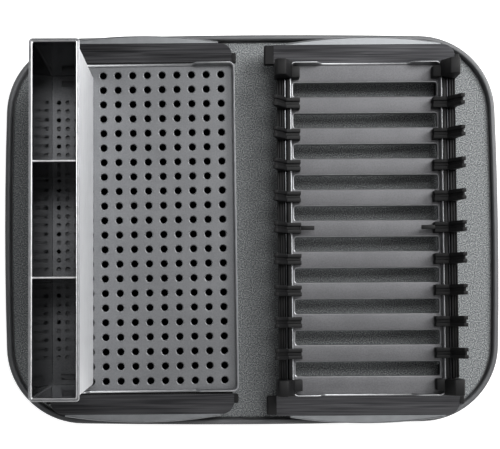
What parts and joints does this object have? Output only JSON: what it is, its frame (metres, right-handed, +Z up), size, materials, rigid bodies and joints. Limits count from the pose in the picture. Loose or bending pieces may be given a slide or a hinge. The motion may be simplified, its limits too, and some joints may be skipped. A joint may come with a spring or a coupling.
{
  "type": "instrument tray",
  "caption": "Shallow rounded drip tray with lift-out racks: a perforated pan with an upright compartment caddy, and a slatted sheet between prong combs that stand things on edge to drain.",
  "frame": {"origin": "under the middle of the base tray, at the level its feet stand on", "axes": "+X along the tray's length towards the slatted rack, +Y towards its back, +Z up"},
  "size_m": [0.441, 0.3488, 0.145],
  "materials": {
    "tray_plastic": "moulded, fine satin",
    "mat_rubber": "fine grained",
    "foot_rubber": "matt",
    "frame_plastic": "moulded, satin",
    "black_plastic": "moulded, satin",
    "dark_brushed_steel": "dark coated, brushed lengthways",
    "grip_steel": "satin",
    "satin_steel": "satin",
    "rolled_steel": "satin, polished on the rolled edge",
    "caddy_steel": "satin outside, mirror-like inside",
    "rim_steel": "satin",
    "drain_steel": "dark satin",
    "polished_steel": "polished"
  },
  "bodies": {
    "base": {"base_tray": "tray_plastic", "liner_mat": "mat_rubber", "tray_feet": "foot_rubber"},
    "left_cradle": {"left_cradle_frame": "frame_plastic", "left_back_wing": "dark_brushed_steel", "left_front_wing": "dark_brushed_steel", "left_back_grip": "grip_steel", "left_front_grip": "grip_steel", "left_end_caps": "black_plastic"},
    "right_cradle": {"right_cradle_frame": "frame_plastic", "right_back_wing": "dark_brushed_steel", "right_front_wing": "dark_brushed_steel", "right_back_grip": "grip_steel", "right_front_grip": "grip_steel", "right_end_caps": "black_plastic"},
    "perforated_tray": {"perforated_panel": "satin_steel", "perforated_edge": "rolled_steel"},
    "slatted_tray": {"slatted_panel": "satin_steel", "slatted_edge": "rolled_steel"},
    "left_comb": {"left_comb_rail": "black_plastic", "left_comb_rod": "polished_steel", "left_comb_prongs": "black_plastic", "left_comb_finger": "black_plastic", "left_comb_end_blocks": "black_plastic"},
    "right_comb": {"right_comb_rail": "black_plastic", "right_comb_rod": "polished_steel", "right_comb_prongs": "black_plastic", "right_comb_finger": "black_plastic", "right_comb_end_blocks": "black_plastic"},
    "caddy": {"caddy_shell": "caddy_steel", "caddy_rim": "rim_steel", "caddy_floor": "drain_steel", "back_divider": "polished_steel", "front_divider": "polished_steel"}
  },
  "joints": [
    {"name": "left_cradle_lift", "type": "slide", "parent": "base", "child": "left_cradle", "axis": [0, 0, 1], "range_m": [0, 0.05]},
    {"name": "perforated_tray_lift", "type": "slide", "parent": "left_cradle", "child": "perforated_tray", "axis": [0, 0, 1], "range_m": [0, 0.06]},
    {"name": "caddy_lift", "type": "slide", "parent": "perforated_tray", "child": "caddy", "axis": [0, 0, 1], "range_m": [0, 0.12]},
    {"name": "right_cradle_lift", "type": "slide", "parent": "base", "child": "right_cradle", "axis": [0, 0, 1], "range_m": [0, 0.05]},
    {"name": "slatted_tray_lift", "type": "slide", "parent": "right_cradle", "child": "slatted_tray", "axis": [0, 0, 1], "range_m": [0, 0.06]},
    {"name": "left_comb_lift", "type": "slide", "parent": "slatted_tray", "child": "left_comb", "axis": [0, 0, 1], "range_m": [0, 0.05]},
    {"name": "right_comb_lift", "type": "slide", "parent": "slatted_tray", "child": "right_comb", "axis": [0, 0, 1], "range_m": [0, 0.05]}
  ]
}
